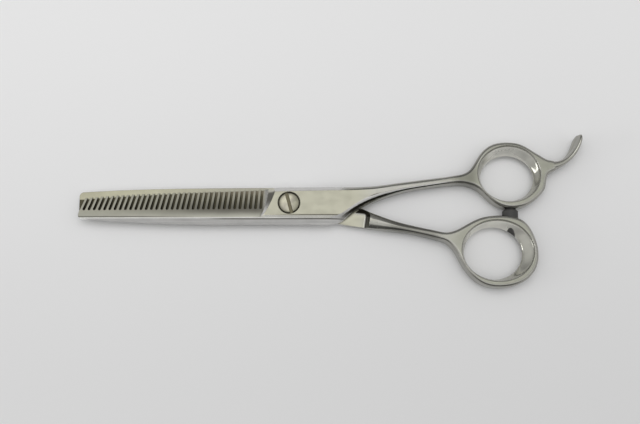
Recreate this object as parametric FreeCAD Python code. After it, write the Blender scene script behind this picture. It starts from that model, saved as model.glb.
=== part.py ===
import FreeCAD, Part
import math
import os

# Thinning shears, closed and lying flat.
# The pivot axis is Z, through the origin.  The blades point along -X, the rings along +X.
# The comb (finger) half is the upper one, and the straight-edged (thumb) half is the lower one.
# All lengths are millimetres.

V = FreeCAD.Vector
UP = V(0, 0, 1)

# ---- heights above the rest face ----
TOP = 6.40              # flat upper face of the comb half
COMB_INNER = 3.25       # inner face of the comb half
STRAIGHT_INNER = 3.20   # inner face of the straight half
RING_TOP = 6.00
RIM_ROUND = 1.20        # rounding along the outside of both rings

# ---- blades ----
TIP_X = -74.1
HANDLE_X = 14.0         # where the straight edges end and the handles begin to curve
WELD_X = 31.0           # blade and handle are welded across this plane
RELIEF_X = 26.4         # the comb half reaches full thickness behind this place
RELIEF_RADIUS = 3.4
POCKET_WALL = ((26.4, -20.0), (28.9, -2.2), (21.0, -1.5), (21.0, 20.0))  # behind the straight half's flat
POCKET_RADIUS = 2.2     # hollow foot of that wall
POCKET_CORNER = 2.4
FLANK_GAP = (0.08, -0.13, 0)    # clearance between the two halves behind the pivot
FACET_LINE = ((-20.0, -4.50), (20.0, -4.30))
FACET_SLOPE = 0.21      # narrow second bevel along the flat
EDGE_LINE = ((-12.0, 3.85), (HANDLE_X, 4.45))
EDGE_SLOPE = 1.0        # bevel along the opposite edge of the flat
GRIND_END_X = -9.0      # the inner faces are hollow ground from the tip to here
COMB_GRIND = (0.0, 60.0, 0.18)      # y of the deepest line, radius, depth
STRAIGHT_GRIND = (1.3, 45.0, 0.20)

# ---- comb teeth ----
GAPS = 36               # the first one is open at the tip
FIRST_GAP_X = -74.134
GAP_PITCH = 1.834
GAP_WIDTH = 1.00
ROOT_Y = -2.15
GAP_LENGTH = 9.5
FIRST_LEAN = 17.4       # degrees from square, at the tip
LEAN_STEP = 0.40        # degrees less at each gap towards the pivot

# ---- pivot ----
HEAD_RADIUS = 3.75
RECESS_RADIUS = 4.00
RECESS_FLOOR = 4.70
HEAD_UNDERSIDE = 5.10
HEAD_TOP = 6.32
HEAD_ROUND = 0.50
SLOT_WIDTH = 1.15
SLOT_DEPTH = 0.80
SLOT_TURN = 105.0       # degrees from +X
SHOULDER_RADIUS = 2.00
SHOULDER_END = 2.95
THREAD_RADIUS = 1.50
THREAD_END = 0.70
THREAD_GAP = 0.20       # free thread past the end of the screw
RUNNING = 0.02          # radial running clearance
WASHER_CLEARANCE = 0.10
BUSH_RADIUS = 2.50
NUT_TOP = 2.80
NUT_RADIUS = 2.50
NUT_FLANGE_RADIUS = 3.40
NUT_FLANGE = 0.80
GLIDE_RADIUS = 4.60
GLIDE_RECESS = 0.30
GLIDE_LIFT = 0.01       # gap under the glide washer
GLIDE_GAP = 0.03        # gap above it
SPRING_RADIUS = 3.60
SPRING_SHEET = 0.25
SPRING_GAP = 0.01       # gap between the spring washer and the screw head

# ---- rings: centre x, centre y, half width along X, half width along Y ----
FINGER_RIM = (78.0, 10.6, 10.75, 9.85)
FINGER_THROAT = (77.6, 9.5, 9.45, 8.35)
THUMB_RIM = (72.95, -16.9, 12.25, 10.45)
THUMB_THROAT = (71.6, -17.5, 10.2, 9.25)
THROAT_Z = 2.70
# depth below either face, share of the way from rim to throat, widening beyond the rim
MOUTH = [(-0.6, 0.00, 1.20), (0.0, 0.00, 0.62), (0.25, 0.00, 0.34), (0.6, 0.00, 0.12), (1.0, 0.12, 0.02)]
FINGER_PLATE_X = 58.0   # the finger ring and its fork are one plate from here on
THUMB_PLATE_X = 53.0
OVERLAP = 2.5           # how far each shank runs on inside its plate
SINK = 0.04             # and how far below the plate's surface it lies there

# ---- bumper ----
BUMPER_X = 78.2
BUMPER_Z = 3.0
BUMPER_RADIUS = 2.75
BUMPER_FACE_Y = -1.80
BUMPER_SEAT_Y = -5.60
BUMPER_BEVEL = 0.75
STEM_RADIUS = 1.30
STEM_END_Y = -12.0

REACH = 100.0           # larger than the object, for cutting solids
ABOVE = 9.0             # higher than the object


def box(x0, x1, y0, y1, z0, z1):
    return Part.makeBox(x1 - x0, y1 - y0, z1 - z0, V(x0, y0, z0))


def slab(x0, x1):
    """The whole object between two planes across X."""
    return box(x0, x1, -REACH, REACH, -1, ABOVE)


def disc(radius, z0, z1, x=0.0, y=0.0):
    return Part.makeCylinder(radius, z1 - z0, V(x, y, z0), UP)


def ring(outer, inner, z0, z1):
    return disc(outer, z0, z1).cut(disc(inner, z0, z1))


def spline(points):
    curve = Part.BSplineCurve()
    curve.interpolate([V(*p) for p in points])
    return curve.toShape()


def line(a, b):
    return Part.LineSegment(V(*a), V(*b)).toShape()


def arc(a, b, c):
    return Part.Arc(V(*a), V(*b), V(*c)).toShape()


def is_level(edge):
    return edge.BoundBox.ZLength < 1e-6


def save(shape, name):
    shape = shape.removeSplitter()
    solids = shape.Solids
    if len(solids) != 1 or not shape.isValid():
        print("CHECK", name, "solids", len(solids), "valid", shape.isValid())
    solids[0].exportStep("parts/%s.step" % name)
    b = solids[0].optimalBoundingBox(False, False)
    print("%-16s %7.1f mm3  x %.2f %.2f  y %.2f %.2f  z %.2f %.2f" % (
        name, solids[0].Volume, b.XMin, b.XMax, b.YMin, b.YMax, b.ZMin, b.ZMax))


def bulged(a, b, centre, bulge):
    """Arc from a to b that swells away from centre by bulge times its chord."""
    chord = b - a
    middle = (a + b) * 0.5
    out = V(0, -chord.z, chord.y)
    if out.dot(middle - centre) < 0:
        out = out * -1
    return Part.Arc(a, middle + out * bulge, b).toShape()


def bar_section(x, low, high, bottom, top, corners, bulge):
    """Eight-edged section of a bar across X.

    corners gives (inset along Y, drop along Z) for the upper low-Y, upper high-Y,
    lower high-Y and lower low-Y corner.
    """
    (ay, az), (by, bz), (cy, cz), (dy, dz) = corners
    p = [V(x, low, top - az), V(x, low + ay, top), V(x, high - by, top), V(x, high, top - bz),
         V(x, high, bottom + cz), V(x, high - cy, bottom), V(x, low + dy, bottom), V(x, low, bottom + dz)]
    centre = V(x, (low + high) / 2, (bottom + top) / 2)
    edges = []
    for i in range(0, 8, 2):
        edges.append(bulged(p[i], p[i + 1], centre, bulge))
        edges.append(Part.LineSegment(p[i + 1], p[(i + 2) % 8]).toShape())
    return Part.Wire(edges)


def loft(wires):
    return Part.makeLoft(wires, True, False, False, 3)


def elliptic_hole(rim, throat):
    """Opening of a ring: rounded at both faces and narrowest between them."""
    upper = [(RING_TOP - z, share, flare) for z, share, flare in reversed(MOUTH)]
    wires = []
    for z, share, flare in MOUTH + [(THROAT_Z, 1.0, 0.0)] + upper:
        x, y, a, b = [r + (t - r) * share for r, t in zip(rim, throat)]
        ellipse = Part.Ellipse(V(x, y, z), a + flare, b + flare)
        wires.append(Part.Wire([ellipse.toShape()]))
    return loft(wires)


def ring_plate(outline):
    """Ring with its fork towards the shank, rounded along the outside."""
    edge = spline(outline)
    shut = line(outline[-1], outline[0])
    plate = Part.Face(Part.Wire([edge, shut])).extrude(V(0, 0, RING_TOP))
    rims = [e for e in plate.Edges if is_level(e) and e.Length > RING_TOP]
    return plate.makeFillet(RIM_ROUND, rims)


def bevel_tool(edge, slope, side):
    """Wedge above a plane that falls away from a line of the flat, towards side * Y."""
    reach = 6.0
    wires = []
    for x, y in edge:
        far = y + side * reach
        corners = [V(x, y, TOP), V(x, far, TOP - reach * slope), V(x, far, TOP + 1), V(x, y, TOP + 1)]
        wires.append(Part.makePolygon(corners + corners[:1]))
    return loft(wires)


# ---------------------------------------------------------------- comb half

def comb_bar():
    """Spine, flat and shank of the comb half, at full thickness."""
    back = (0.3, 0.3)
    blade = [
        # x, low, high, inset and drop of the spine bevel
        (-76.0, -4.95, 9.0, 0.55, 0.60),
        (-70.0, -5.65, 9.0, 1.20, 1.10),
        (-60.0, -6.30, 9.0, 1.80, 1.60),
        (-45.0, -7.00, 9.0, 2.40, 2.00),
        (-20.0, -7.35, 9.0, 2.55, 2.15),
        (HANDLE_X, -7.60, 9.0, 2.40, 2.15),
    ]
    wires = []
    for x, low, high, inset, drop in blade:
        corners = [(inset, drop), back, back, back]
        wires.append(bar_section(x, low, high, 0.5, TOP, corners, 0.02))
    body = loft(wires)
    handle = [
        # x, low, high, bottom, top, bevel inset, bevel drop, upper inset, lower rounding, bulge
        (HANDLE_X, -7.60, 5.85, 0.5, TOP, 2.40, 2.15, 1.40, 1.00, 0.02),
        (17.0, -7.00, 5.82, 0.5, TOP, 2.60, 2.20, 1.35, 1.00, 0.05),
        (20.0, -5.45, 5.78, 0.5, TOP, 2.65, 2.20, 1.30, 1.00, 0.08),
        (23.5, -2.75, 5.80, 0.5, TOP, 2.45, 2.15, 1.25, 1.00, 0.10),
        (27.0, -0.65, 5.95, 0.5, TOP, 2.35, 2.10, 1.25, 1.00, 0.12),
        (31.0, 1.20, 6.25, 0.5, TOP, 2.20, 2.00, 1.25, 1.00, 0.14),
        (35.0, 2.70, 6.80, 0.5, 6.35, 1.70, 1.80, 1.25, 1.10, 0.17),
        (40.0, 4.20, 7.52, 0.5, 6.20, 1.25, 1.50, 1.30, 1.15, 0.20),
        (46.0, 5.45, 8.38, 0.4, 6.05, 0.95, 1.25, 1.40, 1.20, 0.207),
        (52.0, 6.40, 9.15, 0.2, 6.00, 0.90, 1.20, 1.35, 1.20, 0.207),
        (FINGER_PLATE_X, 7.09, 9.96, SINK, RING_TOP - SINK, 1.20, 1.20, 1.20, 1.20, 0.207),
        (FINGER_PLATE_X + 3, 7.30, 10.05, SINK, RING_TOP - SINK, 1.20, 1.20, 1.20, 1.20, 0.207),
    ]
    wires = []
    for x, low, high, bottom, top, inset, drop, upper, lower, bulge in handle:
        corners = [(inset, drop), (upper, upper), (lower, lower), (lower, lower)]
        wires.append(bar_section(x, low, high, bottom, top, corners, bulge))
    return body, loft(wires)


def toothed_face():
    """Everything above the ground face of the comb, ending in a hollow shoulder."""
    wires = []
    rows = [
        # y, height at the tip, height at the heel, shoulder x, length of the hollow
        (-6.2, 5.90, 6.45, -10.2, 1.2),
        (0.0, 4.25, 5.08, -6.5, 2.4),
        (9.0, 1.85, 2.96, -3.9, 4.6),
    ]
    for y, tip_z, heel_z, shoulder, hollow in rows:
        a = (-80.0, y, tip_z)
        b = (shoulder - hollow, y, heel_z)
        d = (shoulder, y, max(TOP, heel_z + 0.05))
        rise = d[2] - heel_z
        c = (shoulder - 0.29 * hollow, y, heel_z + 0.36 * rise)
        e = (shoulder, y, TOP + 4)
        f = (-80.0, y, TOP + 4)
        wires.append(Part.Wire([line(a, b), arc(b, c, d), line(d, e), line(e, f), line(f, a)]))
    return loft(wires)


def comb_plan():
    """Plan of the comb's tip and tooth ends, as the region that is kept."""
    tips = [(-73.0, 2.10, 0), (-60.0, 3.20, 0), (-48.0, 3.85, 0), (-33.0, 4.35, 0), (-17.0, 4.80, 0),
            (-8.0, 5.35, 0), (-3.0, 5.80, 0)]
    edges = [
        spline(tips),
        line(tips[-1], (HANDLE_X, 5.85, 0)),
        line((HANDLE_X, 5.85, 0), (HANDLE_X, -9.0, 0)),
        line((HANDLE_X, -9.0, 0), (-73.3, -9.0, 0)),
        line((-73.3, -9.0, 0), (-73.3, -5.4, 0)),
        arc((-73.3, -5.4, 0), (-73.9, -4.95, 0), (TIP_X, -4.0, 0)),
        line((TIP_X, -4.0, 0), (-73.7, -1.4, 0)),
        line((-73.7, -1.4, 0), tips[0]),
    ]
    return Part.Face(Part.Wire(edges)).extrude(V(0, 0, ABOVE))


def tooth_gap(index):
    """One round-ended gap between two teeth."""
    x = FIRST_GAP_X + index * GAP_PITCH
    half = GAP_WIDTH / 2
    centre_y = ROOT_Y + half - 0.35 * (1 - index / GAPS)
    root = disc(half, 0, ABOVE, x, centre_y)
    slot = box(x - half, x + half, centre_y, centre_y + GAP_LENGTH, 0, ABOVE)
    gap = root.fuse(slot)
    gap.rotate(V(x, centre_y, 0), UP, -(FIRST_LEAN - LEAN_STEP * index))
    return gap


def hollow_grind(grind, z, side):
    """Long cylinder that hollows the inner face at height z, from the side (1 above, -1 below)."""
    y, radius, depth = grind
    start = V(-REACH, y, z + side * (radius - depth))
    return Part.makeCylinder(radius, GRIND_END_X + REACH, start, V(1, 0, 0))


def comb_relief():
    """Takes the lower half of the thickness away ahead of RELIEF_X, up to a hollow wall."""
    centre = COMB_INNER - RELIEF_RADIUS
    block = box(-REACH, RELIEF_X, -REACH, REACH, -REACH, COMB_INNER)
    wheel = Part.makeCylinder(RELIEF_RADIUS, 2 * REACH, V(RELIEF_X, -REACH, centre), V(0, 1, 0))
    below = box(RELIEF_X - 1, RELIEF_X + RELIEF_RADIUS, -REACH, REACH, -REACH, centre)
    return block.fuse(wheel).fuse(below)


def comb_half():
    blade, handle = comb_bar()
    blade = blade.common(comb_plan())
    blade = blade.cut(toothed_face())
    blade = blade.cut(bevel_tool(EDGE_LINE, EDGE_SLOPE, 1))
    half = blade.fuse(handle)
    half = half.cut(bevel_tool(FACET_LINE, FACET_SLOPE, -1))
    return half.cut(comb_relief())


def comb_blade(half):
    blade = half.common(slab(-REACH, WELD_X))
    blade = blade.cut(hollow_grind(COMB_GRIND, COMB_INNER, -1))
    gaps = Part.makeCompound([tooth_gap(i) for i in range(GAPS)])
    blade = blade.cut(gaps)
    blade = blade.cut(disc(RECESS_RADIUS, RECESS_FLOOR, ABOVE))
    blade = blade.cut(disc(BUSH_RADIUS, 0, ABOVE))
    return blade.cut(disc(GLIDE_RADIUS + WASHER_CLEARANCE, 0, COMB_INNER + GLIDE_RECESS))


FINGER_OUTLINE = [
    (58.0, 10.00, 0), (60.6, 10.40, 0), (63.2, 11.40, 0), (65.3, 13.60, 0), (68.0, 17.90, 0),
    (72.0, 21.30, 0), (77.4, 22.35, 0), (82.6, 21.60, 0), (86.6, 19.30, 0), (90.0, 17.05, 0),
    (92.4, 15.85, 0), (94.6, 15.10, 0), (94.9, 12.45, 0), (92.5, 11.05, 0), (91.3, 8.80, 0),
    (90.6, 5.60, 0),
    (88.2, 2.40, 0), (84.2, -0.50, 0), (78.3, -1.75, 0), (73.2, -0.30, 0), (69.4, 3.00, 0),
    (66.4, 5.60, 0), (62.8, 6.95, 0), (58.0, 7.05, 0),
]

THUMB_OUTLINE = [
    (53.0, -10.10, 0), (56.4, -10.25, 0), (60.0, -8.90, 0), (63.8, -6.80, 0), (68.0, -5.05, 0),
    (73.0, -4.40, 0), (78.4, -4.75, 0), (82.6, -6.50, 0), (85.4, -10.60, 0), (86.9, -16.00, 0),
    (86.6, -21.20, 0), (84.0, -25.70, 0), (79.4, -28.70, 0), (73.6, -29.80, 0), (67.8, -28.90, 0),
    (63.3, -25.60, 0), (60.2, -21.20, 0), (58.0, -16.90, 0), (55.9, -14.40, 0), (53.0, -13.05, 0),
]


def tang():
    """Finger rest that curls up from the finger ring."""
    stations = [
        # x, y, heading in degrees, thickness, bottom, top, lean of the section in degrees
        (89.5, 12.9, 10, 3.2, 0.10, 5.9, 0),
        (93.5, 13.75, 12, 3.2, 0.03, 6.04, 0),
        (95.6, 14.3, 15, 2.7, 0.10, 6.00, 2),
        (97.7, 15.2, 26, 2.2, 0.3, 5.9, 4),
        (100.2, 17.3, 46, 2.0, 0.5, 6.1, 9),
        (102.3, 20.5, 64, 1.8, 0.5, 6.6, 14),
        (103.4, 23.3, 76, 1.6, 0.8, 6.8, 16),
        (103.9, 25.1, 82, 0.9, 2.2, 6.0, 16),
    ]
    wires = []
    for x, y, heading, thick, bottom, top, lean in stations:
        h = math.radians(heading)
        side = V(-math.sin(h), math.cos(h), 0)
        tilt = math.radians(lean)
        wide = UP * math.cos(tilt) - side * math.sin(tilt)
        thin = side * math.cos(tilt) + UP * math.sin(tilt)
        centre = V(x, y, (bottom + top) / 2)
        tall = (top - bottom) / 2
        points = []
        for k in range(12):
            t = 2 * math.pi * k / 12
            c = math.cos(t)
            s = math.sin(t)
            u = math.copysign(abs(c) ** 0.75, c) * thick / 2
            w = math.copysign(abs(s) ** 0.75, s) * tall
            points.append(centre + thin * u + wide * w)
        curve = Part.BSplineCurve()
        curve.interpolate(points, PeriodicFlag=True)
        wires.append(Part.Wire([curve.toShape()]))
    return loft(wires)


def finger_handle(half):
    shank = half.common(slab(WELD_X, FINGER_PLATE_X + OVERLAP))
    body = shank.fuse(ring_plate(FINGER_OUTLINE)).fuse(tang())
    return body.cut(elliptic_hole(FINGER_RIM, FINGER_THROAT))


# ---------------------------------------------------------------- straight half

def straight_bar():
    blade = [
        # x, edge y, spine y, underside, spine bevel inset and drop, edge bevel inset and drop
        (-76.0, -3.00, 4.30, 1.60, 1.6, 0.9, 2.4, 1.2),
        (-66.0, -3.05, 4.85, 1.30, 2.0, 1.1, 2.8, 1.5),
        (-50.0, -3.15, 5.50, 0.90, 2.3, 1.3, 3.0, 1.9),
        (-30.0, -3.25, 5.85, 0.45, 2.4, 1.5, 3.0, 2.3),
        (-12.0, -3.30, 6.00, 0.10, 2.4, 1.6, 2.6, 2.5),
        (-5.0, -4.40, 6.00, 0.00, 2.2, 1.5, 1.6, 1.5),
        (4.0, -5.40, 5.90, 0.00, 1.6, 1.3, 1.0, 1.0),
        (HANDLE_X, -6.60, 4.60, 0.00, 1.2, 1.0, 1.0, 1.0),
    ]
    wires = []
    tiny = (0.08, 0.08)
    for x, low, high, bottom, si, sd, ei, ed in blade:
        corners = [tiny, tiny, (si, sd), (ei, ed)]
        wires.append(bar_section(x, low, high, bottom, 3.6, corners, 0.03))
    body = loft(wires)
    handle = [
        # x, low, high, bottom, top, upper insets at the low and high side, drop, lower rounding, bulge
        (HANDLE_X, -6.60, 4.60, 0.00, 5.6, 3.30, 3.30, 1.30, 1.00, 0.10),
        (19.0, -7.30, 1.60, 0.00, 5.6, 3.30, 3.00, 1.30, 1.00, 0.10),
        (24.0, -8.10, -0.70, 0.00, 5.6, 3.30, 2.70, 1.30, 1.00, 0.10),
        (28.5, -8.75, -3.05, 0.05, 5.6, 3.05, 2.35, 1.30, 1.10, 0.10),
        (32.0, -9.25, -4.40, 0.10, 5.6, 2.60, 1.95, 1.30, 1.20, 0.11),
        (37.0, -9.85, -6.15, 0.30, 5.6, 1.80, 1.65, 1.30, 1.20, 0.13),
        (42.0, -10.50, -7.55, 0.40, 5.6, 1.15, 1.55, 1.25, 1.20, 0.16),
        (47.5, -11.60, -8.85, 0.30, 5.8, 1.00, 1.45, 1.20, 1.20, 0.19),
        (THUMB_PLATE_X, -13.01, -10.14, SINK, RING_TOP - SINK, 1.20, 1.20, 1.20, 1.20, 0.207),
        (THUMB_PLATE_X + 3, -13.70, -10.80, SINK, RING_TOP - SINK, 1.20, 1.20, 1.20, 1.20, 0.207),
    ]
    wires = []
    for x, low, high, bottom, top, low_inset, high_inset, drop, lower, bulge in handle:
        corners = [(low_inset, drop), (high_inset, drop), (lower, lower), (lower, lower)]
        wires.append(bar_section(x, low, high, bottom, top, corners, bulge))
    return body, loft(wires)


def straight_tip():
    """Plan of the rounded tip of the straight blade, as the region that is kept."""
    edges = [
        line((-74.4, -3.0, 0), (-74.55, 2.6, 0)),
        arc((-74.55, 2.6, 0), (-74.1, 4.0, 0), (-72.6, 4.5, 0)),
        line((-72.6, 4.5, 0), (-70.0, 9.0, 0)),
        line((-70.0, 9.0, 0), (HANDLE_X, 9.0, 0)),
        line((HANDLE_X, 9.0, 0), (HANDLE_X, -9.0, 0)),
        line((HANDLE_X, -9.0, 0), (-74.0, -9.0, 0)),
        line((-74.0, -9.0, 0), (-74.4, -3.0, 0)),
    ]
    return Part.Face(Part.Wire(edges)).extrude(V(0, 0, ABOVE))


def pocket():
    """Space above the straight half's inner face, ending behind in a hollow L-shaped wall."""
    side = POCKET_WALL[-1][1]
    plan = [(-REACH, -side)] + list(POCKET_WALL) + [(-REACH, side)]
    wire = Part.makePolygon([V(x, y, 0) for x, y in plan + plan[:1]])
    tool = Part.Face(wire).extrude(V(0, 0, ABOVE))
    corner_x = POCKET_WALL[1][0]
    upright = [e for e in tool.Edges if e.BoundBox.XMin > corner_x - 0.1]
    tool = tool.makeFillet(POCKET_CORNER, upright)
    step_x = POCKET_WALL[2][0]
    floor = [e for e in tool.Edges if is_level(e) and e.BoundBox.ZMax < 1]
    foot = [e for e in floor if e.BoundBox.XMin > step_x - 1 and e.BoundBox.XMax > step_x + 1]
    tool = tool.makeFillet(POCKET_RADIUS, foot)
    tool.translate(V(0, 0, STRAIGHT_INNER))
    return tool


def straight_half(comb):
    blade, handle = straight_bar()
    blade = blade.common(straight_tip())
    half = blade.fuse(handle)
    half = half.cut(pocket())
    flank = comb.copy()
    flank.translate(V(*FLANK_GAP))
    half = half.cut(flank)
    return half.cut(box(-REACH, REACH, -REACH, REACH, -1, 0))


def straight_blade(half):
    blade = half.common(slab(-REACH, WELD_X))
    blade = blade.cut(hollow_grind(STRAIGHT_GRIND, STRAIGHT_INNER, 1))
    blade = blade.cut(disc(NUT_RADIUS, -1, ABOVE))
    return blade.cut(disc(NUT_FLANGE_RADIUS, -1, NUT_FLANGE))


def thumb_handle(half):
    shank = half.common(slab(WELD_X, THUMB_PLATE_X + OVERLAP))
    body = shank.fuse(ring_plate(THUMB_OUTLINE))
    return body.cut(elliptic_hole(THUMB_RIM, THUMB_THROAT))


# ---------------------------------------------------------------- bumper and pivot

def along_y(radius, y0, y1):
    return Part.makeCylinder(radius, y1 - y0, V(BUMPER_X, y0, BUMPER_Z), V(0, 1, 0))


def bumper(handle):
    """Rubber stop with a stem that is pushed through the thumb ring."""
    head = along_y(BUMPER_RADIUS, BUMPER_SEAT_Y, BUMPER_FACE_Y)
    face_edges = [e for e in head.Edges if e.BoundBox.YMin > BUMPER_FACE_Y - 0.01]
    head = head.makeChamfer(BUMPER_BEVEL, face_edges)
    stem = along_y(STEM_RADIUS, STEM_END_Y, BUMPER_FACE_Y - 1)
    stem = stem.cut(elliptic_hole(THUMB_RIM, THUMB_THROAT))
    return head.cut(handle).fuse(stem)


def pivot_screw():
    head = disc(HEAD_RADIUS, HEAD_UNDERSIDE, HEAD_TOP)
    head = head.makeFillet(HEAD_ROUND, [e for e in head.Edges if e.BoundBox.ZMin > HEAD_TOP - 0.01])
    slot = box(-REACH, REACH, -SLOT_WIDTH / 2, SLOT_WIDTH / 2, HEAD_TOP - SLOT_DEPTH, ABOVE)
    slot.rotate(V(0, 0, 0), UP, SLOT_TURN)
    shoulder = disc(SHOULDER_RADIUS, SHOULDER_END, HEAD_UNDERSIDE)
    thread = disc(THREAD_RADIUS, THREAD_END, SHOULDER_END)
    return head.cut(slot).fuse(shoulder).fuse(thread)


def spring_washer():
    """Dished washer that keeps the pivot under tension."""
    inner = SHOULDER_RADIUS + WASHER_CLEARANCE
    high = HEAD_UNDERSIDE - SPRING_GAP
    profile = [V(inner, 0, high - SPRING_SHEET), V(SPRING_RADIUS, 0, RECESS_FLOOR),
               V(SPRING_RADIUS, 0, RECESS_FLOOR + SPRING_SHEET), V(inner, 0, high)]
    face = Part.Face(Part.makePolygon(profile + profile[:1]))
    return face.revolve(V(0, 0, 0), UP, 360)


def pivot_bush():
    return ring(BUSH_RADIUS, SHOULDER_RADIUS + RUNNING, COMB_INNER + GLIDE_RECESS, RECESS_FLOOR)


def glide_washer():
    low = STRAIGHT_INNER + GLIDE_LIFT
    return ring(GLIDE_RADIUS, SHOULDER_RADIUS + WASHER_CLEARANCE, low, COMB_INNER + GLIDE_RECESS - GLIDE_GAP)


def pivot_nut():
    nut = disc(NUT_RADIUS, 0, NUT_TOP).fuse(disc(NUT_FLANGE_RADIUS, 0, NUT_FLANGE))
    return nut.cut(disc(THREAD_RADIUS + RUNNING, THREAD_END - THREAD_GAP, NUT_TOP))


def main():
    os.makedirs("parts", exist_ok=True)
    comb = comb_half()
    straight = straight_half(comb)
    save(comb_blade(comb), "comb_blade")
    save(finger_handle(comb), "finger_handle")
    save(straight_blade(straight), "straight_blade")
    thumb = thumb_handle(straight)
    hole = along_y(STEM_RADIUS, STEM_END_Y, BUMPER_FACE_Y)
    save(thumb.cut(hole), "thumb_handle")
    save(bumper(thumb), "bumper")
    save(pivot_screw(), "pivot_screw")
    save(spring_washer(), "spring_washer")
    save(pivot_bush(), "pivot_bush")
    save(glide_washer(), "glide_washer")
    save(pivot_nut(), "pivot_nut")


main()
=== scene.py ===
import math
import bpy
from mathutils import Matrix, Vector


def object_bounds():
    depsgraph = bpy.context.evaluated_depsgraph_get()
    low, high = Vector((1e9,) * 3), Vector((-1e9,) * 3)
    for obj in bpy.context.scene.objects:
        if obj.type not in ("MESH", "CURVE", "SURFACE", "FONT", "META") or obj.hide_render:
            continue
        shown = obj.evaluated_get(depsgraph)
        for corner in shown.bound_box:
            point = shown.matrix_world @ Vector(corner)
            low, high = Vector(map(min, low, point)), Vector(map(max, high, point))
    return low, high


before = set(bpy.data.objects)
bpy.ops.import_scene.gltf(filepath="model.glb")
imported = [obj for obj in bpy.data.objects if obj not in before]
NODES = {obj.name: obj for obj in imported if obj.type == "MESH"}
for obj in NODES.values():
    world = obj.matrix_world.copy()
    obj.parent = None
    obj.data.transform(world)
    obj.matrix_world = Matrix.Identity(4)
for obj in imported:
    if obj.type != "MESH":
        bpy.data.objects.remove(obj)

MM = 0.001
CAD_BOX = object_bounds()

# ---------------------------------------------------------------- camera
TILT = math.radians(12.0)              # lean of the view towards the thumb-ring side
SENSOR_WIDTH = 36.0
LENS = 47.8125
FIELD_PER_WIDTH = SENSOR_WIDTH / LENS  # frame width over distance
SPAN = 0.8001                          # share of the frame's width that the shears fill
AIM = Vector((10.9, -3.4, 6.4)) * MM


def make_camera():
    low, high = CAD_BOX
    data = bpy.data.cameras.new("camera")
    camera = bpy.data.objects.new("camera", data)
    bpy.context.scene.collection.objects.link(camera)
    data.sensor_width = SENSOR_WIDTH
    data.lens = LENS
    distance = (high[0] - low[0]) / SPAN / FIELD_PER_WIDTH
    away = Vector((0, -math.sin(TILT), math.cos(TILT)))
    camera.location = AIM + away * distance
    camera.rotation_euler = (TILT, 0, 0)
    bpy.context.scene.camera = camera


make_camera()
bpy.context.scene.view_settings.view_transform = "Standard"


# ---------------------------------------------------------------- node helpers
EDGE_WEAR = 0.12 * MM                  # radius of the worn edges
EDGE_SAMPLES = 6
SEED_STEP = (1.0, 0.7, 1.3)            # direction in which a noise's seed moves it
EVEN = (1.0, 1.0, 1.0)                 # noise that isn't stretched
NOISE_ROUGH = 0.55
NOISE_MIDDLE = (0.3, 0.7)              # most of a noise's values lie between these
MIX_COLOUR = (6, 7, 2)                 # a Mix node's sockets: two inputs and the output
MIX_NUMBER = (2, 3, 0)


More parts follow.
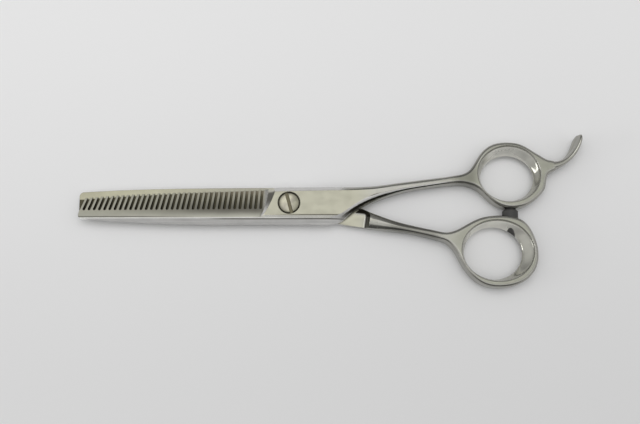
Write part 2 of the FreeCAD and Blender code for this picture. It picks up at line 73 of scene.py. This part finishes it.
class Tree:
    """Builds a node tree from expressions, and keeps the finish worked out so far."""

    def __init__(self, tree):
        self.tree = tree
        self.tree.nodes.clear()

    def node(self, kind, **settings):
        made = self.tree.nodes.new(kind)
        for key, value in settings.items():
            setattr(made, key, value)
        return made

    def put(self, socket, value):
        """Links or sets an input; a colour may leave out its alpha."""
        if isinstance(value, bpy.types.NodeSocket):
            self.tree.links.new(value, socket)
        elif isinstance(value, tuple) and len(value) == 3:
            socket.default_value = (*value, 1)
        else:
            socket.default_value = value

    def math(self, op, *values, clamp=False):
        made = self.node("ShaderNodeMath", operation=op, use_clamp=clamp)
        for socket, value in zip(made.inputs, values):
            self.put(socket, value)
        return made.outputs[0]

    def ramp(self, value, low, high, to_low=0.0, to_high=1.0):
        """Smooth step of a value from low to high."""
        made = self.node("ShaderNodeMapRange", interpolation_type="SMOOTHSTEP")
        for socket, v in zip(made.inputs, (value, low, high, to_low, to_high)):
            self.put(socket, v)
        return made.outputs[0]

    def both(self, first, *rest):
        """Product of masks."""
        for mask in rest:
            first = self.math("MULTIPLY", first, mask)
        return first

    def band(self, value, low, high, soft):
        """1 between low and high, fading out over soft at each end."""
        return self.both(self.ramp(value, low - soft, low), self.ramp(value, high + soft, high))

    def mix(self, factor, a, b):
        """Mix of two colours, or of two numbers."""
        colour = any(isinstance(v, tuple) or getattr(v, "type", "") == "RGBA" for v in (a, b))
        made = self.node("ShaderNodeMix", data_type="RGBA" if colour else "FLOAT")
        first, second, out = MIX_COLOUR if colour else MIX_NUMBER
        self.put(made.inputs[0], factor)
        self.put(made.inputs[first], a)
        self.put(made.inputs[second], b)
        return made.outputs[out]

    def noise(self, stretch, scale, detail, seed=0.0, rough=NOISE_ROUGH):
        """Noise over the object's own space; stretch lengthens it along each axis."""
        place = self.node("ShaderNodeMapping")
        self.put(place.inputs[0], self.place)
        place.inputs["Scale"].default_value = tuple(1.0 / s for s in stretch)
        place.inputs["Location"].default_value = tuple(seed * step for step in SEED_STEP)
        made = self.node("ShaderNodeTexNoise")
        self.put(made.inputs["Vector"], place.outputs[0])
        made.inputs["Scale"].default_value = scale
        made.inputs["Detail"].default_value = detail
        made.inputs["Roughness"].default_value = rough
        return made.outputs["Fac"]

    def surface_space(self):
        """Object-space position in millimetres, and the normal."""
        coords = self.node("ShaderNodeTexCoord")
        self.place = coords.outputs["Object"]
        split = self.node("ShaderNodeSeparateXYZ")
        self.put(split.inputs[0], self.place)
        self.x, self.y, self.z = (self.math("MULTIPLY", s, 1.0 / MM) for s in split.outputs)
        split = self.node("ShaderNodeSeparateXYZ")
        self.put(split.inputs[0], coords.outputs["Normal"])
        self.nx, self.ny, self.nz = split.outputs
        self.up = self.math("ABSOLUTE", self.nz)
        x_square = self.math("MULTIPLY", self.x, self.x)
        y_square = self.math("MULTIPLY", self.y, self.y)
        self.radius = self.math("SQRT", self.math("ADD", x_square, y_square))

    def lay(self, mask, colour=None, rough=None, metal=None):
        """Lays a finish over the one so far, where the mask is 1."""
        if colour is not None:
            self.colour = self.mix(mask, self.colour, colour)
        if rough is not None:
            self.rough = self.mix(mask, self.rough, rough)
        if metal is not None:
            self.metal = self.mix(mask, self.metal, metal)

    def finish(self, colour, metallic, rough, height=None, bump=None):
        """Shader; a height gets worn edges and a bump of that strength and depth in millimetres."""
        out = self.node("ShaderNodeOutputMaterial")
        shader = self.node("ShaderNodeBsdfPrincipled")
        self.put(shader.inputs["Base Color"], colour)
        self.put(shader.inputs["Metallic"], metallic)
        self.put(shader.inputs["Roughness"], rough)
        if height is not None:
            worn = self.node("ShaderNodeBevel", samples=EDGE_SAMPLES)
            worn.inputs["Radius"].default_value = EDGE_WEAR
            relief = self.node("ShaderNodeBump")
            strength, depth = bump
            self.put(relief.inputs["Normal"], worn.outputs[0])
            relief.inputs["Strength"].default_value = strength
            relief.inputs["Distance"].default_value = depth * MM
            self.put(relief.inputs["Height"], height)
            self.put(shader.inputs["Normal"], relief.outputs[0])
        self.put(out.inputs[0], shader.outputs[0])


def material(name):
    made = bpy.data.materials.new(name)
    made.use_nodes = True
    tree = Tree(made.node_tree)
    tree.surface_space()
    return made, tree


# ---------------------------------------------------------------- colours of the steel
POLISHED = (0.390, 0.385, 0.350)
SATIN = (0.285, 0.279, 0.224)          # the flat round the pivot
SHANK_SATIN = (0.300, 0.296, 0.270)
HANDLE_SATIN = (0.225, 0.226, 0.190)
BEVEL = (0.540, 0.538, 0.522)          # long bevels, brushed lengthwise
# lines of the brushing on the bevels, and the painted highlight line on the shank bevel
BEVEL_BRUSHING_AND_HIGHLIGHT = (0.680, 0.672, 0.655)
# painted highlight line along the crease
CREASE_PAINTED_HIGHLIGHT = (0.950, 0.945, 0.900)
# painted shade lines at the creases, along the facet and on the shank bevel
LINE_PAINTED_SHADE = (0.110, 0.105, 0.085)
LAND = (0.560, 0.555, 0.480)           # ground face behind the gaps
GROUND = (0.185, 0.178, 0.150)         # tooth faces at the heel, near the roots
GROUND_END = (0.430, 0.415, 0.335)     # and near the tooth ends
GROUND_TIP = (0.560, 0.550, 0.455)
STRIP = (0.350, 0.338, 0.252)          # edge of the straight blade past the teeth
STRIP_HEEL = (0.250, 0.243, 0.200)
# painted shade in the gaps, in the pocket and along the lowest line of the shank bevel
DEEP_PAINTED_SHADE = (0.022, 0.020, 0.015)
RECESS = (0.500, 0.480, 0.380)         # round the screw head
GAP_PAINTED_SHADE = (0.078, 0.072, 0.048)           # painted shade on the inner face seen through the gaps
# painted shade at the heel, lighter near the line of the tooth ends
GAP_PAINTED_SHADE_HEEL = (0.160, 0.142, 0.105)
SHOULDER_PAINTED_SHADE = (0.120, 0.116, 0.100)       # painted shade on the hollow between the teeth and the flat
# painted highlight along the top of that hollow
SHOULDER_TOP_PAINTED_HIGHLIGHT = (0.560, 0.550, 0.470)
RING_WALL_PAINTED_LIGHT = (0.430, 0.426, 0.380)           # painted light on the inside of the rings
# more painted light where the wall faces the thumb side
RING_WALL_TOP_PAINTED_LIGHT = (0.800, 0.790, 0.730)
# painted shade on the thumb shank and the finger fork
HANDLE_PAINTED_SHADE = (0.030, 0.030, 0.020)

# ---------------------------------------------------------------- where the finishes change
# Lengths are in millimetres. A pair is where a mask is 0 and where it is 1. Names in _UP, _NX, _NY and
# _NZ are of the normal, and 1 in _UP is level.
FLAT_UP = (0.978, 0.996)
SHANK_X = (22.0, 34.0)                 # from the flat round the pivot to the shanks
HANDLE_X = (48.0, 62.0)                # and on to the rings

BEVEL_X = (21.0, 17.0)                 # long bevel along either spine
BEVEL_UP = (0.99, 0.93)

TOOTHED_X = (-8.2, -9.4)               # the gaps and the ground face lie ahead of this
GROUND_UP = (0.90, 0.95)
ROOT_Y = (-5.6, -2.4)                  # from the land behind the gaps to the teeth
TOOTH_Y = (-1.5, 3.5)                  # along a tooth
TEETH_X = (-74.0, -20.0)               # from the tip to the heel
GAP_Y = (-3.4, -3.0)                   # walls of the gaps, which get painted shade
GAP_WALL_UP = (0.75, 0.45)

CREASE_Y = -5.17                       # crease between the ground face and the spine bevel
CREASE_SOFT = 0.10
TIP_CREASE = (0.10, 0.42)              # distances from the crease: painted shade line at the tip
TIP_CREASE_SOFT = 0.12
TIP_CREASE_X = (-28.0, -56.0)
TIP_CREASE_SHARE = 0.65
LIGHT_CREASE = (-0.30, 0.0)            # painted highlight line all along
LIGHT_CREASE_X = (6.0, -4.0)
HEEL_CREASE = (-0.62, -0.42)           # painted shade line at the heel
HEEL_CREASE_X = (-30.0, -22.0)

HOLLOW_X = (-9.3, -3.9)                # shoulder behind the last tooth, with painted shade and a painted highlight along its top
HOLLOW_SOFT = 0.4
HOLLOW_UP = (0.985, 0.95)
HOLLOW_NX = (-0.05, -0.25)
HOLLOW_LOW_Y = (-3.5, 1.5)
HOLLOW_HIGH_Y = (4.8, 4.0)
HOLLOW_TOP_Y = (3.6, 5.0)

FACET_Y = (-4.45, -4.15)               # painted shade line along the top of the narrow facet beside the flat
FACET_SOFT = 0.10
FACET_X = (-8.0, 6.0)
FACET_UP = (0.95, 0.97)

RECESS_RADIUS = (4.10, 4.02)           # round the screw head
RECESS_Z = (6.38, 6.25)

SHANK_SIDE_NY = (-0.12, -0.20)         # lower bevel of the finger shank, which gets painted shade and highlight lines
BLADE_SHANK_X = (17.0, 22.0)
HANDLE_SHANK_X = (58.0, 54.0)
HANDLE_SHANK_Y = (-1.0, 0.0)
UPPER_LINE_X = (33.0, 29.0)
UPPER_LINE_UP = (0.950, 0.972, 0.012)  # low, high and soft, from the top of the bevel down
LIGHT_LINE_UP = (0.820, 0.930, 0.020)
LOWER_LINE_UP = (0.600, 0.775, 0.025)

INNER_Z = (2.6, 2.9)                   # inner face of the straight blade
GAP_SHADE_X = (-7.0, -9.0)
STRIP_X = (-6.0, -9.0)
ENDS_X, ENDS_Y = -8.0, 5.35            # line of the tooth ends, from the heel
ENDS_LENGTH = 65.0
ENDS_SLOPE, ENDS_CURVE = 1.6, 1.65     # how far it drops towards the tip
ENDS_EDGE = (0.05, 0.45)               # from the strip to the painted shade behind that line
GAP_SHADE_HEEL_X = (-50.0, -12.0)
GAP_SHADE_HEEL_DEPTH = (3.0, 0.6)
STRIP_HEEL_X = (-55.0, -15.0)

POCKET_NX = (-0.15, -0.35)             # walls of the L-shaped pocket behind the flat, which get painted shade
POCKET_Y = (-5.2, -4.6)
POCKET_NY = (0.15, 0.05)
POCKET_X = (29.3, 29.0)
POCKET_Z = (3.22, 3.45)
POCKET_NZ = (0.99, 0.93)

FINGER_RIM = (78.0, 10.6, 10.75, 9.85)     # centre x, centre y, half width, half height
THUMB_RIM = (72.95, -16.9, 12.25, 10.45)
RIM_EDGE = (1.06, 1.0)                 # in the square of the distance, with 1 at the rim
RIM_WALL_UP = (0.97, 0.90)
RIM_TOP_NY = (-0.25, -0.75)            # part of the wall that faces the thumb side

DIM_SHANK_X = (55.0, 50.0)             # parts of the handles darkened with painted shade
DIM_SHANK_START_X = (31.0, 40.0)
DIM_SHANK_Y = (-3.6, -4.4)
DIM_SHANK_SHARE = 0.45
DIM_FORK_X = (61.0, 64.0, 4.5)         # low, high and soft
DIM_FORK_Y = (2.0, 4.0)
DIM_FORK_SHARE = 0.42


# ---------------------------------------------------------------- steel
# Noises: stretch along each axis, scale per metre, detail, seed
STREAKS = ((14.0, 1.0, 1.0), 2600.0, 4.0)
GRAIN = (EVEN, 5200.0, 3.0, 4.0)
BLOTCH = ((1.6, 1.0, 1.0), 330.0, 3.0, 9.0)
SMUDGE = (EVEN, 120.0, 2.0, 15.0)
BRUSHING = ((40.0, 1.0, 1.0), 1500.0, 3.0, 21.0)

# Roughness from one value to another, by noise
POLISHED_ROUGH = (0.10, 0.19)
SATIN_ROUGH = (0.30, 0.42)
BEVEL_ROUGH = (0.36, 0.46)
GROUND_ROUGH = 0.34
STRIP_ROUGH = 0.4
DULL_ROUGH = 0.5
GAP_ROUGH = 0.6
WALL_TOP_ROUGH = 0.3
LINE_ROUGH = 0.25

# Metallic below 1 stands for a brushed surface that scatters
BEVEL_METAL = 0.35
RECESS_METAL = 0.3
WALL_METAL = 0.70
WALL_TOP_METAL = 0.35
LINE_METAL = 0.5

BLOTCH_RANGE = (0.25, 0.75)
BLOTCH_VALUE = (0.93, 1.05)            # brightness of the blotches
RELIEF = 0.5
STEEL_BUMP = (0.25, 0.012)             # strength, and depth in millimetres


def spine_bevel(t):
    """Long bevel of either blade, brushed lengthwise; returns its mask."""
    bevel = t.both(t.ramp(t.x, *BEVEL_X), t.ramp(t.up, *BEVEL_UP))
    lines = t.ramp(t.noise(*BRUSHING), *NOISE_MIDDLE)
    rough = t.ramp(t.streaks, *NOISE_MIDDLE, *BEVEL_ROUGH)
    t.lay(bevel, t.mix(lines, BEVEL, BEVEL_BRUSHING_AND_HIGHLIGHT), rough, BEVEL_METAL)
    return bevel


def crease_line(t, where, between, soft, colour):
    """Line between two distances from the crease."""
    near, far = (CREASE_Y + distance for distance in between)
    t.lay(t.both(where, t.band(t.y, near, far, soft)), colour)


def shank_bevel(t, where):
    """Painted highlight and painted shade lines along the lower bevel of the finger shank."""
    low_side = t.both(where, t.ramp(t.ny, *SHANK_SIDE_NY))
    upper_line = t.both(low_side, t.band(t.up, *UPPER_LINE_UP), t.ramp(t.x, *UPPER_LINE_X))
    t.lay(upper_line, LINE_PAINTED_SHADE)
    # painted highlight line between the painted shade lines
    t.lay(t.both(low_side, t.band(t.up, *LIGHT_LINE_UP)), BEVEL_BRUSHING_AND_HIGHLIGHT, LINE_ROUGH, LINE_METAL)
    t.lay(t.both(low_side, t.band(t.up, *LOWER_LINE_UP)), DEEP_PAINTED_SHADE)


def comb_marks(t):
    """Ground teeth, painted shade in the gaps, painted shade and highlight lines at the creases,
    painted shade and highlight on the hollow shoulder, and screw recess of the comb blade.
    """
    bevel = spine_bevel(t)
    toothed = t.ramp(t.x, *TOOTHED_X)
    face = t.both(toothed, t.ramp(t.up, *GROUND_UP))
    teeth = t.mix(t.ramp(t.y, *TOOTH_Y), GROUND, GROUND_END)
    teeth = t.mix(t.ramp(t.x, *TEETH_X), GROUND_TIP, teeth)
    t.lay(face, LAND, GROUND_ROUGH, 1.0)
    t.lay(t.both(face, t.ramp(t.y, *ROOT_Y)), teeth)
    # painted shade on the walls of the gaps
    t.lay(t.both(toothed, t.ramp(t.y, *GAP_Y), t.ramp(t.up, *GAP_WALL_UP)), DEEP_PAINTED_SHADE, GAP_ROUGH)
    tip = t.both(face, t.ramp(t.x, *TIP_CREASE_X, 0.0, TIP_CREASE_SHARE))
    crease_line(t, tip, TIP_CREASE, TIP_CREASE_SOFT, LINE_PAINTED_SHADE)
    crease_line(t, t.both(bevel, t.ramp(t.x, *LIGHT_CREASE_X)), LIGHT_CREASE, CREASE_SOFT, CREASE_PAINTED_HIGHLIGHT)
    crease_line(t, t.both(bevel, t.ramp(t.x, *HEEL_CREASE_X)), HEEL_CREASE, CREASE_SOFT, LINE_PAINTED_SHADE)
    slope = t.both(t.ramp(t.up, *HOLLOW_UP), t.ramp(t.nx, *HOLLOW_NX))
    hollow = t.both(t.band(t.x, *HOLLOW_X, HOLLOW_SOFT), slope)
    t.lay(t.both(hollow, t.ramp(t.y, *HOLLOW_LOW_Y), t.ramp(t.y, *HOLLOW_HIGH_Y)), SHOULDER_PAINTED_SHADE)
    t.lay(t.both(hollow, t.ramp(t.y, *HOLLOW_TOP_Y)), SHOULDER_TOP_PAINTED_HIGHLIGHT)
    facet = t.both(t.ramp(t.x, *FACET_X), t.ramp(t.up, *FACET_UP))
    # painted shade line along the facet
    t.lay(t.both(facet, t.band(t.y, *FACET_Y, FACET_SOFT)), LINE_PAINTED_SHADE)
    recess = t.both(t.ramp(t.radius, *RECESS_RADIUS), t.ramp(t.z, *RECESS_Z))
    t.lay(recess, RECESS, DULL_ROUGH, RECESS_METAL)
    shank_bevel(t, t.ramp(t.x, *BLADE_SHANK_X))


def straight_marks(t):
    """Painted shade on the inner face behind the teeth, a strip past them, and painted shade in the
    pocket.
    """
    spine_bevel(t)
    inner = t.ramp(t.z, *INNER_Z)
    along = t.math("DIVIDE", t.math("SUBTRACT", ENDS_X, t.x), ENDS_LENGTH, clamp=True)
    slope = t.math("ADD", ENDS_SLOPE, t.math("MULTIPLY", along, ENDS_CURVE))
    ends = t.math("SUBTRACT", ENDS_Y, t.math("MULTIPLY", along, slope))
    depth = t.math("SUBTRACT", ends, t.y)      # how far behind the line of the tooth ends
    # painted shade where the inner face lies behind the line of the tooth ends
    gap_shade = t.both(inner, t.ramp(depth, *ENDS_EDGE), t.ramp(t.x, *GAP_SHADE_X))
    heel = t.both(t.ramp(t.x, *GAP_SHADE_HEEL_X), t.ramp(depth, *GAP_SHADE_HEEL_DEPTH))
    t.lay(gap_shade, t.mix(heel, GAP_PAINTED_SHADE, GAP_PAINTED_SHADE_HEEL), DULL_ROUGH)
    strip = t.both(inner, t.ramp(depth, *reversed(ENDS_EDGE)), t.ramp(t.x, *STRIP_X))
    t.lay(strip, t.mix(t.ramp(t.x, *STRIP_HEEL_X), STRIP, STRIP_HEEL), STRIP_ROUGH)
    facing = t.math("MAXIMUM", t.ramp(t.nx, *POCKET_NX), t.ramp(t.y, *POCKET_Y))
    pocket = t.both(facing, t.ramp(t.ny, *POCKET_NY), t.ramp(t.x, *POCKET_X))
    above = t.both(t.ramp(t.z, *POCKET_Z), t.ramp(t.nz, *POCKET_NZ))
    # painted shade in the pocket
    t.lay(t.both(pocket, above), DEEP_PAINTED_SHADE, DULL_ROUGH)


def within(t, rim):
    """1 within a ring's opening and its flared wall."""
    x, y, half_width, half_height = rim
    u = t.math("DIVIDE", t.math("SUBTRACT", t.x, x), half_width)
    v = t.math("DIVIDE", t.math("SUBTRACT", t.y, y), half_height)
    square = t.math("ADD", t.math("MULTIPLY", u, u), t.math("MULTIPLY", v, v))
    return t.ramp(square, *RIM_EDGE)


def handle_marks(t):
    """Painted light on the inside walls of the rings, painted shade on the fork and shank, and the
    painted lines on the finger shank.
    """
    inside = t.math("MAXIMUM", within(t, FINGER_RIM), within(t, THUMB_RIM))
    wall = t.both(inside, t.ramp(t.up, *RIM_WALL_UP))
    t.lay(wall, RING_WALL_PAINTED_LIGHT, None, WALL_METAL)
    t.lay(t.both(wall, t.ramp(t.ny, *RIM_TOP_NY)), RING_WALL_TOP_PAINTED_LIGHT, WALL_TOP_ROUGH, WALL_TOP_METAL)
    shank_length = t.both(t.ramp(t.x, *DIM_SHANK_X), t.ramp(t.x, *DIM_SHANK_START_X))
    shank = t.both(shank_length, t.ramp(t.y, *DIM_SHANK_Y, 0.0, DIM_SHANK_SHARE))
    fork = t.both(t.band(t.x, *DIM_FORK_X), t.ramp(t.y, *DIM_FORK_Y, 0.0, DIM_FORK_SHARE))
    t.lay(t.math("MAXIMUM", shank, fork), HANDLE_PAINTED_SHADE)
    shank_bevel(t, t.both(t.ramp(t.x, *HANDLE_SHANK_X), t.ramp(t.y, *HANDLE_SHANK_Y)))


def steel(name, marks):
    """Stainless steel: satin on the flats, polished on everything that curves."""
    made, t = material(name)
    t.streaks = t.noise(*STREAKS)
    grain = t.noise(*GRAIN)
    blotch = t.noise(*BLOTCH)
    smudge = t.noise(*SMUDGE)
    flat = t.ramp(t.up, *FLAT_UP)
    satin = t.mix(t.ramp(t.x, *SHANK_X), SATIN, SHANK_SATIN)
    satin = t.mix(t.ramp(t.x, *HANDLE_X), satin, HANDLE_SATIN)
    t.colour = t.mix(flat, POLISHED, satin)
    polished_rough = t.ramp(smudge, *NOISE_MIDDLE, *POLISHED_ROUGH)
    t.rough = t.mix(flat, polished_rough, t.ramp(blotch, *NOISE_MIDDLE, *SATIN_ROUGH))
    t.metal = 1.0
    marks(t)
    value = t.node("ShaderNodeHueSaturation")
    t.put(value.inputs["Color"], t.colour)
    t.put(value.inputs["Value"], t.ramp(blotch, *BLOTCH_RANGE, *BLOTCH_VALUE))
    relief = t.mix(flat, t.streaks, t.math("ADD", t.streaks, grain))
    t.finish(value.outputs[0], t.metal, t.rough, t.math("MULTIPLY", relief, RELIEF), STEEL_BUMP)
    return made


# ---------------------------------------------------------------- other materials
SCREW_LIGHT = (0.30, 0.288, 0.226)
SCREW_DARK = (0.25, 0.236, 0.200)
SCREW_SIDE_PAINTED_SHADE = (0.14, 0.14, 0.105)       # painted shade on the half away from the teeth
# painted shade towards the head's edge
SCREW_EDGE_PAINTED_SHADE = (0.110, 0.106, 0.080)
# painted shade in the slot
SLOT_PAINTED_SHADE = (0.15, 0.137, 0.092)
SCREW_ROUGH = (0.26, 0.38)
SCREW_SIDE_X = (0.0, 2.6)
SCREW_SIDE_SHARE = 0.7
SCREW_EDGE_RADIUS = (2.20, 3.50)
SCREW_EDGE_SHARE = 0.85
SLOT_Z = (5.75, 5.60)
TURNING = 9.0                          # turning marks per millimetre of radius
SCREW_SMUDGE = (EVEN, 420.0, 3.0, 2.0)
SCREW_SMUDGE_RANGE = (0.35, 0.7)
SCREW_BUMP = (0.2, 0.012)

# Light colour, dark colour and roughness of the parts inside the pivot
NUT_STEEL = ((0.50, 0.49, 0.44), (0.42, 0.41, 0.36), (0.25, 0.38))
SPRING_STEEL = ((0.20, 0.19, 0.16), (0.12, 0.115, 0.09), (0.35, 0.5))
BUSH_BRASS = ((0.60, 0.45, 0.20), (0.48, 0.35, 0.15), (0.25, 0.4))
METAL_BLOTCH = (EVEN, 700.0, 3.0, 3.0)
METAL_GRAIN = (EVEN, 5000.0, 3.0, 6.0)
METAL_BUMP = (0.2, 0.01)

RUBBER = (0.040, 0.040, 0.038)
RUBBER_DUST = (0.062, 0.061, 0.056)
RUBBER_ROUGH = (0.55, 0.72)
RUBBER_GRAIN = (EVEN, 3800.0, 4.0, 1.0, 0.65)
DUST = (EVEN, 900.0, 3.0, 8.0)
DUST_RANGE = (0.45, 0.75)
RUBBER_BUMP = (0.5, 0.03)

PLASTIC_DARK = (0.62, 0.61, 0.55)
PLASTIC_LIGHT = (0.70, 0.69, 0.63)
PLASTIC_ROUGH = (0.38, 0.52)
PLASTIC_GRAIN = (EVEN, 2500.0, 3.0, 1.0)
PLASTIC_BUMP = (0.2, 0.01)


def screw_steel():
    """Turned head, with painted shade on one half, towards its edge and in the slot."""
    made, t = material("screw_steel")
    turned = t.node("ShaderNodeTexNoise", noise_dimensions="1D")
    t.put(turned.inputs["W"], t.math("MULTIPLY", t.radius, TURNING))
    turned.inputs["Scale"].default_value = 1.0
    smudge = t.noise(*SCREW_SMUDGE)
    t.colour = t.mix(t.ramp(smudge, *SCREW_SMUDGE_RANGE), SCREW_LIGHT, SCREW_DARK)
    t.rough = t.ramp(smudge, *NOISE_MIDDLE, *SCREW_ROUGH)
    t.lay(t.ramp(t.x, *SCREW_SIDE_X, 0.0, SCREW_SIDE_SHARE), SCREW_SIDE_PAINTED_SHADE)
    t.lay(t.ramp(t.radius, *SCREW_EDGE_RADIUS, 0.0, SCREW_EDGE_SHARE), SCREW_EDGE_PAINTED_SHADE)
    t.lay(t.ramp(t.z, *SLOT_Z), SLOT_PAINTED_SHADE, DULL_ROUGH)
    t.finish(t.colour, 1.0, t.rough, turned.outputs["Fac"], SCREW_BUMP)
    return made


def plain_metal(name, light, dark, rough):
    made, t = material(name)
    blotch = t.noise(*METAL_BLOTCH)
    worn = t.ramp(blotch, *NOISE_MIDDLE, *rough)
    t.finish(t.mix(blotch, light, dark), 1.0, worn, t.noise(*METAL_GRAIN), METAL_BUMP)
    return made


def rubber():
    made, t = material("bumper_rubber")
    dust = t.noise(*DUST)
    colour = t.mix(t.ramp(dust, *DUST_RANGE), RUBBER, RUBBER_DUST)
    rough = t.ramp(dust, *NOISE_MIDDLE, *RUBBER_ROUGH)
    t.finish(colour, 0.0, rough, t.noise(*RUBBER_GRAIN), RUBBER_BUMP)
    return made


def plastic():
    made, t = material("glide_plastic")
    grain = t.noise(*PLASTIC_GRAIN)
    colour = t.mix(grain, PLASTIC_DARK, PLASTIC_LIGHT)
    t.finish(colour, 0.0, t.ramp(grain, *NOISE_MIDDLE, *PLASTIC_ROUGH), grain, PLASTIC_BUMP)
    return made


def dress(mat, *names):
    """Gives the named CAD nodes a material."""
    for name in names:
        slots = NODES[name].material_slots
        for slot in slots:
            slot.material = mat
        if not slots:
            NODES[name].data.materials.append(mat)


dress(steel("comb_steel", comb_marks), "comb_blade")
dress(steel("blade_steel", straight_marks), "straight_blade")
dress(steel("handle_steel", handle_marks), "finger_handle", "thumb_handle")
dress(screw_steel(), "pivot_screw")
dress(plain_metal("nut_steel", *NUT_STEEL), "pivot_nut")
dress(plain_metal("spring_steel", *SPRING_STEEL), "spring_washer")
dress(plain_metal("bush_brass", *BUSH_BRASS), "pivot_bush")
dress(rubber(), "bumper")
dress(plastic(), "glide_washer")


# ---------------------------------------------------------------- stage and light
FLOOR_HALF = 3.0                       # metres
FLOOR_GAP = 0.02                       # millimetres below the shears
FLOOR_ROUGH = 0.75
FLOOR_Y = (-90.0, 90.0)                # the floor's paint goes from one value to the other, lighter towards +Y and darker towards +X: painted light and shade
FLOOR_Y_PAINTED_LIGHT = (0.782, 0.920)
FLOOR_X = (-110.0, 120.0)
FLOOR_X_PAINTED_SHADE = (-0.014, -0.055)

# Sine of the elevation, and brightness
SKY = [(0.00, 0.64), (0.16, 0.54), (0.40, 0.54), (0.65, 0.87), (1.00, 1.04)]
WALL_SPREAD = (0.55, 0.90)             # sine of the azimuth from X over which a wall starts
WALL_HIGH = (0.86, 0.72)
WALL_LOW = (0.14, 0.26)
WALL_SIDES = (-0.1, 0.1)
WALL_DEPTH = (0.80, 0.56)              # how dark the -Y wall and the +Y wall are
ZENITH_GUARD = 1.001                   # keeps the square root above zero straight up

# Lamps: azimuth, elevation, distance, size and radiance
KEY = (80, 79, 1.2, (0.9, 0.6), 1.32)
WINDOW = (190, 16, 1.2, (0.46, 0.18), 5.0)


def stage():
    mesh = bpy.data.meshes.new("floor")
    corners = [(x * FLOOR_HALF, y * FLOOR_HALF, 0) for x, y in ((-1, -1), (1, -1), (1, 1), (-1, 1))]
    mesh.from_pydata(corners, [], [(0, 1, 2, 3)])
    floor = bpy.data.objects.new("floor", mesh)
    bpy.context.scene.collection.objects.link(floor)
    floor.location.z = CAD_BOX[0][2] - FLOOR_GAP * MM
    made, t = material("floor")
    # painted light and shade across the floor
    floor_paint = t.math("ADD", t.ramp(t.y, *FLOOR_Y, *FLOOR_Y_PAINTED_LIGHT), t.ramp(t.x, *FLOOR_X, *FLOOR_X_PAINTED_SHADE))
    paint = t.node("ShaderNodeCombineColor")
    for socket in paint.inputs:
        t.put(socket, floor_paint)
    t.finish(paint.outputs[0], 0.0, FLOOR_ROUGH)
    mesh.materials.append(made)


def softbox(name, azimuth, elevation, distance, size, radiance):
    """Rectangular lamp aimed at the origin; azimuth is measured from +X towards +Y."""
    data = bpy.data.lights.new(name, "AREA")
    data.shape = "RECTANGLE"
    data.size, data.size_y = size
    data.energy = radiance * math.pi * size[0] * size[1]
    lamp = bpy.data.objects.new(name, data)
    bpy.context.scene.collection.objects.link(lamp)
    a, e = math.radians(azimuth), math.radians(elevation)
    direction = Vector((math.cos(a) * math.cos(e), math.sin(a) * math.cos(e), math.sin(e)))
    lamp.location = direction * distance
    lamp.rotation_euler = (-lamp.location).to_track_quat("-Z", "Y").to_euler()


def sky():
    """White ceiling that darkens towards the horizon, and dark walls on the +Y and -Y sides."""
    world = bpy.data.worlds.new("world")
    bpy.context.scene.world = world
    world.use_nodes = True
    t = Tree(world.node_tree)
    coords = t.node("ShaderNodeTexCoord")
    split = t.node("ShaderNodeSeparateXYZ")
    t.put(split.inputs[0], coords.outputs["Generated"])
    side, up = split.outputs[1], split.outputs[2]
    gradient = t.node("ShaderNodeValToRGB")
    elements = gradient.color_ramp.elements
    for place, value in SKY[1:-1]:
        elements.new(place)
    for element, (place, value) in zip(elements, SKY):
        element.position = place
        element.color = (value, value, value, 1)
    t.put(gradient.inputs[0], up)
    level = t.math("SQRT", t.math("SUBTRACT", ZENITH_GUARD, t.math("MULTIPLY", up, up)))
    sideways = t.math("DIVIDE", t.math("ABSOLUTE", side), level)
    height = t.both(t.ramp(up, *WALL_HIGH), t.ramp(up, *WALL_LOW))
    wall = t.both(t.ramp(sideways, *WALL_SPREAD), height)
    depth = t.ramp(side, *WALL_SIDES, *WALL_DEPTH)
    back = t.node("ShaderNodeBackground")
    t.put(back.inputs[0], gradient.outputs[0])
    t.put(back.inputs[1], t.math("SUBTRACT", 1.0, t.math("MULTIPLY", wall, depth)))
    out = t.node("ShaderNodeOutputWorld")
    t.put(out.inputs[0], back.outputs[0])


stage()
sky()
softbox("key", *KEY)
softbox("window", *WINDOW)
